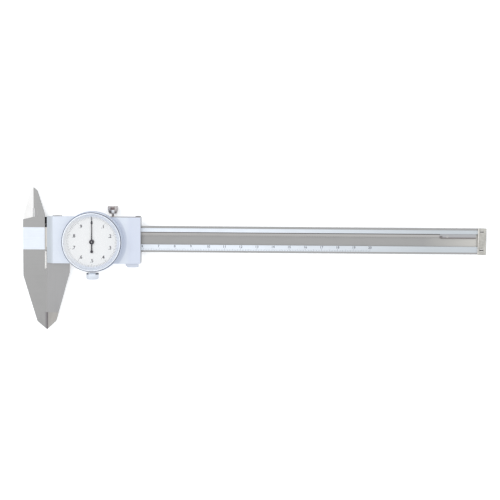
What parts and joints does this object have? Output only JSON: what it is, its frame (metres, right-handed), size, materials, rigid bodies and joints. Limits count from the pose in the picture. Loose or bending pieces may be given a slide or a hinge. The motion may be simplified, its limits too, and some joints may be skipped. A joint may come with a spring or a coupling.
{
  "type": "dial caliper",
  "caption": "Dial caliper with outside and inside jaws, a rack-driven dial on the slider, a lock screw, a turning bezel and a depth rod.",
  "frame": {"origin": "on the rear face of the slider's back plate, under the dial's axis, with the jaws closed", "axes": "+X along the beam away from the jaws, +Y towards the inside jaws, +Z out of the dial"},
  "size_m": [0.2863, 0.0884, 0.0168],
  "materials": {
    "satin_steel": "satin chromed lands, ground jaws",
    "ground_steel": "ground",
    "knurled_steel": "straight knurl",
    "bright_screws": "bright",
    "pale_cover": "fine satin",
    "pale_bezel": "satin",
    "brass": "turned",
    "crystal": "clear",
    "dial_white": "matt white",
    "needle_black": "matt black"
  },
  "bodies": {
    "beam": {"beam": "satin_steel", "rack": "ground_steel", "rack_screws": "bright_screws", "end_stop": "satin_steel", "end_stop_screws": "bright_screws"},
    "slider": {"slider_frame": "ground_steel", "gib_strip": "ground_steel", "gib_screws": "bright_screws", "lock_pad": "brass", "back_plate": "ground_steel", "back_plate_screws": "bright_screws", "depth_rod": "ground_steel", "rod_rivets": "ground_steel", "front_cover": "pale_cover", "dial_case": "pale_cover", "case_screws": "bright_screws", "main_plate": "brass", "movement_screws": "bright_screws", "bridge_pillars": "brass", "bridge_plate": "brass", "bridge_screws": "bright_screws", "pivot_bushes": "brass", "retaining_ring": "ground_steel", "bezel_clamp_pin": "ground_steel"},
    "lock_screw": {"lock_screw": "knurled_steel"},
    "bezel_clamp_screw": {"bezel_clamp_screw": "pale_bezel"},
    "bezel": {"bezel": "pale_bezel", "crystal": "crystal", "dial_spacer_ring": "dial_white", "dial_face": "dial_white"},
    "drive_gears": {"drive_arbor": "ground_steel", "drive_gear": "brass", "scissor_gear": "brass", "scissor_spring": "ground_steel"},
    "needle": {"centre_arbor": "ground_steel", "needle_hub": "needle_black", "needle": "needle_black"}
  },
  "joints": [
    {"name": "slider_slide", "type": "slide", "parent": "beam", "child": "slider", "axis": [1, 0, 0], "range_m": [0, 0.2]},
    {"name": "lock_screw_turn", "type": "hinge", "parent": "slider", "child": "lock_screw", "pos_m": [0.0119, 0.0102, 0.0032], "axis": [0, 1, 0], "range_deg": [0, 360]},
    {"name": "bezel_clamp_turn", "type": "hinge", "parent": "slider", "child": "bezel_clamp_screw", "pos_m": [0, -0.0187, 0.0099], "axis": [0, -1, 0], "range_deg": [0, 360]},
    {"name": "bezel_turn", "type": "hinge", "parent": "slider", "child": "bezel", "pos_m": [0, 0, 0.0135], "axis": [0, 0, 1], "continuous": true},
    {"name": "drive_gear_turn", "type": "hinge", "parent": "slider", "child": "drive_gears", "pos_m": [0.00745, 0.00196, 0.0105], "axis": [0, 0, 1], "range_deg": [0, 7201]},
    {"name": "needle_turn", "type": "hinge", "parent": "slider", "child": "needle", "pos_m": [0, 0, 0.0142], "axis": [0, 0, 1], "range_deg": [-72010, 0]}
  ],
  "couplings": [
    {"joint": "drive_gear_turn", "follows": "slider_slide", "rad_per_m": 628.32},
    {"joint": "needle_turn", "follows": "slider_slide", "rad_per_m": -6283.2}
  ]
}
